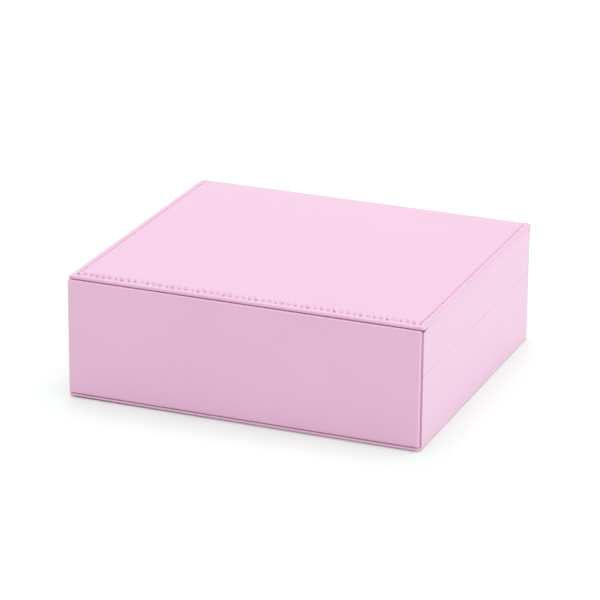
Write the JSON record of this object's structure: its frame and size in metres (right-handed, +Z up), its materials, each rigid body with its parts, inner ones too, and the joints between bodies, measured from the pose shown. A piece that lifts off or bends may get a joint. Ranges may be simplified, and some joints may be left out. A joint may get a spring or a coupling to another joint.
{
  "type": "jewellery case",
  "caption": "Pale pink leather jewellery case: lid and base halves on concealed rear hinges, a full-height magnetic front flap, a framed mirror and a lift-out tray with ring rolls.",
  "frame": {"origin": "centre of the case's footprint on the surface it stands on", "axes": "+X to the case's right along its width, -Y towards the flap at the front, +Z up"},
  "size_m": [0.24, 0.2166, 0.082],
  "materials": {
    "pink_leather": "smooth matte faux leather",
    "case_board": "raw fibreboard",
    "thread": "polyester sewing thread",
    "felt": "non-slip felt",
    "suede": "faux suede lining",
    "roll_suede": "faux suede over foam",
    "mirror": "silvered glass",
    "steel": "nickel-plated steel",
    "screws": "nickel-plated steel",
    "magnet": "nickel-plated magnet"
  },
  "bodies": {
    "base": {"bottom_felt": "felt", "bottom_board": "pink_leather", "base_front_wall": "case_board", "base_back_wall": "case_board", "base_left_wall": "case_board", "base_right_wall": "case_board", "base_side_leather": "pink_leather", "base_back_leather": "pink_leather", "base_lining": "suede", "tray_ledge_left": "suede", "tray_ledge_right": "suede", "base_long_divider": "suede", "base_cross_divider": "suede", "catch_plates": "steel", "hinge_base_leaves": "steel", "hinge_base_screws": "screws", "hinge_pins": "steel"},
    "lid": {"lid_front_wall": "case_board", "lid_back_wall": "case_board", "lid_left_wall": "case_board", "lid_right_wall": "case_board", "lid_side_leather": "pink_leather", "lid_back_leather": "pink_leather", "top_board": "case_board", "top_leather": "pink_leather", "top_stitching": "thread", "lid_lining": "suede", "mirror_frame": "pink_leather", "mirror_glass": "mirror", "hinge_lid_leaves": "steel", "hinge_lid_screws": "screws", "flap_hinge_lid_strip": "pink_leather"},
    "flap": {"flap_board": "case_board", "flap_magnets": "magnet", "flap_leather": "pink_leather", "flap_facing": "suede", "flap_hinge_flap_strip": "pink_leather"},
    "tray": {"tray_floor": "suede", "tray_left_wall": "suede", "tray_right_wall": "suede", "tray_front_wall": "suede", "tray_back_wall": "suede", "tray_long_divider": "suede", "tray_short_divider": "suede", "tray_front_cross_divider": "suede", "tray_back_cross_divider": "suede", "tray_front_half_divider": "suede", "tray_middle_half_divider": "suede", "ring_roll_1": "roll_suede", "ring_roll_2": "roll_suede", "ring_roll_3": "roll_suede", "ring_roll_4": "roll_suede", "ring_roll_5": "roll_suede", "tray_pull_tabs": "pink_leather"}
  },
  "joints": [
    {"name": "lid_hinge", "type": "hinge", "parent": "base", "child": "lid", "pos_m": [0, 0.106, 0.0492], "axis": [-1, 0, 0], "range_deg": [0, 100]},
    {"name": "flap_hinge", "type": "hinge", "parent": "lid", "child": "flap", "pos_m": [0, -0.1051, 0.0796], "axis": [-1, 0, 0], "range_deg": [0, 100]},
    {"name": "tray_lift", "type": "slide", "parent": "base", "child": "tray", "axis": [0, 0, 1], "range_m": [0, 0.025]}
  ]
}
